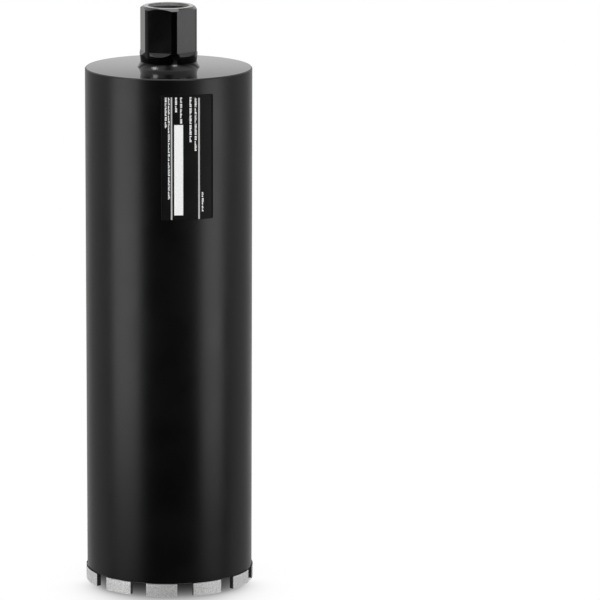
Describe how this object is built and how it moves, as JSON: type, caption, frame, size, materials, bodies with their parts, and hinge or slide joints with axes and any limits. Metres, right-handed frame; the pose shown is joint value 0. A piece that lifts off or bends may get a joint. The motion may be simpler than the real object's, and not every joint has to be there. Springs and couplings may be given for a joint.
{
  "type": "diamond core bit",
  "caption": "Thin-walled steel core barrel with diamond segments on its open rim and a hexagonal hub with a female thread on its closed end.",
  "frame": {"origin": "centre of the plane through the segments' cutting faces, on the barrel's axis", "axes": "+Z along the barrel from the cutting end to the hub, -Y towards the side that carries the label"},
  "size_m": [0.1319, 0.132, 0.456],
  "materials": {
    "black_paint": "satin to gloss black paint on steel",
    "sintered_metal": "bare sintered metal with fine grain, dressed on the faces",
    "label_film": "gloss black film with plain grey bars and a white field"
  },
  "bodies": {
    "root": {"tube": "black_paint", "end_plate": "black_paint", "plate_weld": "black_paint", "hub": "black_paint", "hub_weld": "black_paint", "segment_01": "sintered_metal", "segment_02": "sintered_metal", "segment_03": "sintered_metal", "segment_04": "sintered_metal", "segment_05": "sintered_metal", "segment_06": "sintered_metal", "segment_07": "sintered_metal", "segment_08": "sintered_metal", "segment_09": "sintered_metal", "segment_10": "sintered_metal", "segment_11": "sintered_metal", "label": "label_film"}
  },
  "joints": []
}
